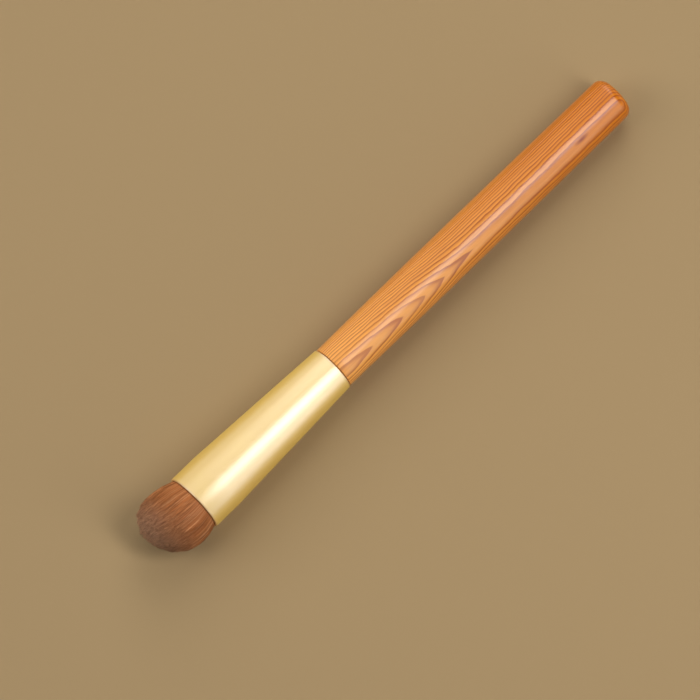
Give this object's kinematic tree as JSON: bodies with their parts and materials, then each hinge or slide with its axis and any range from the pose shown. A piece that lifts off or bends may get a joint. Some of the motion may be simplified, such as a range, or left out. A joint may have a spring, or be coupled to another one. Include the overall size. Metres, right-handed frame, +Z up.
{
  "type": "concealer brush",
  "caption": "Make-up brush with a turned wooden handle, a tapered gold metal ferrule and a dense domed tuft of soft filaments for blending concealer.",
  "frame": {"origin": "centre of the flat end face of the handle's butt", "axes": "+X along the brush's axis from the butt to the tuft; +Z up as the brush lies on a table; the tuft leans a little towards -Y"},
  "size_m": [0.155, 0.0165, 0.0156],
  "materials": {
    "varnished_wood": "orange-brown wood with a clear gloss varnish",
    "gold_metal": "gold anodised, satin",
    "handle_adhesive": "cured adhesive",
    "filament": "soft brown synthetic filament with greyer tips",
    "thread": "waxed polyester thread",
    "root_resin": "cured amber resin"
  },
  "bodies": {
    "root": {"handle": "varnished_wood", "ferrule": "gold_metal", "tenon_adhesive": "handle_adhesive", "bristle_tuft": "filament", "binding_thread": "thread", "root_plug": "root_resin"}
  },
  "joints": []
}
